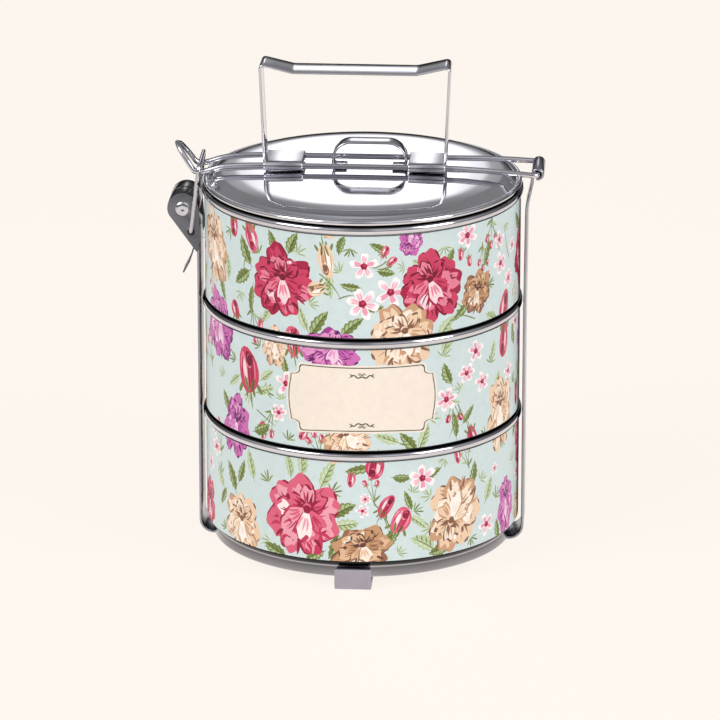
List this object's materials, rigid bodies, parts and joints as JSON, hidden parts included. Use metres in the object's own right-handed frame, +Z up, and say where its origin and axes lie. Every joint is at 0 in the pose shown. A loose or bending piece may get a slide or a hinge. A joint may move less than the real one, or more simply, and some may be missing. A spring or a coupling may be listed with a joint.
{
  "type": "tiffin carrier",
  "caption": "Stacked round steel food bowls with a floral print, under a domed lid, held in a strap cradle with a hinged wire top frame, carrying handle and over-centre latch.",
  "frame": {"origin": "on the ground under the bowls' axis, on the underside of the foot bar", "axes": "+Z up the bowls' axis, +X towards the frame's hinge, -X towards the latch, -Y to the front"},
  "size_m": [0.1664, 0.1422, 0.2217],
  "materials": {
    "polished_steel": "mirror-polished stainless steel",
    "satin_steel": "satin stainless strap",
    "dull_steel": "dull stamped steel",
    "printed_film": "pale aqua film with a floral print",
    "black_plastic": "glossy black plastic"
  },
  "bodies": {
    "cradle": {"cradle_strap": "satin_steel", "foot_bar": "dull_steel", "pivot_rivet": "polished_steel", "pivot_sleeve": "black_plastic"},
    "top_frame": {"frame_wire": "polished_steel", "carry_handle": "polished_steel"},
    "lever": {"latch_lever": "dull_steel"},
    "bail": {"bail_wire": "polished_steel"},
    "bottom_tier": {"bottom_bowl": "polished_steel", "bottom_print_film": "printed_film"},
    "middle_tier": {"middle_bowl": "polished_steel", "middle_print_film": "printed_film"},
    "top_tier": {"top_bowl": "polished_steel", "top_print_film": "printed_film"},
    "lid": {"lid": "polished_steel", "lid_loop": "polished_steel"}
  },
  "joints": [
    {"name": "frame_hinge", "type": "hinge", "parent": "cradle", "child": "top_frame", "pos_m": [0.0776, 0, 0.174], "axis": [0, 1, 0], "range_deg": [0, 200]},
    {"name": "lever_pivot", "type": "hinge", "parent": "cradle", "child": "lever", "pos_m": [-0.0789, 0, 0.1558], "axis": [0, 1, 0], "range_deg": [0, 150]},
    {"name": "bail_pivot", "type": "hinge", "parent": "lever", "child": "bail", "pos_m": [-0.0753, 0, 0.1452], "axis": [0, 1, 0], "range_deg": [-101, 0]},
    {"name": "bottom_tier_turn", "type": "hinge", "parent": "cradle", "child": "bottom_tier", "pos_m": [0, 0, 0.005], "axis": [0, 0, 1], "continuous": true},
    {"name": "middle_tier_turn", "type": "hinge", "parent": "bottom_tier", "child": "middle_tier", "pos_m": [0, 0, 0.0565], "axis": [0, 0, 1], "continuous": true},
    {"name": "top_tier_turn", "type": "hinge", "parent": "middle_tier", "child": "top_tier", "pos_m": [0, 0, 0.108], "axis": [0, 0, 1], "continuous": true},
    {"name": "lid_turn", "type": "hinge", "parent": "cradle", "child": "lid", "pos_m": [0, 0, 0.1665], "axis": [0, 0, 1], "range_deg": [-6, 6]}
  ],
  "couplings": [
    {"joint": "bail_pivot", "follows": "lever_pivot", "ratio": -0.67}
  ]
}
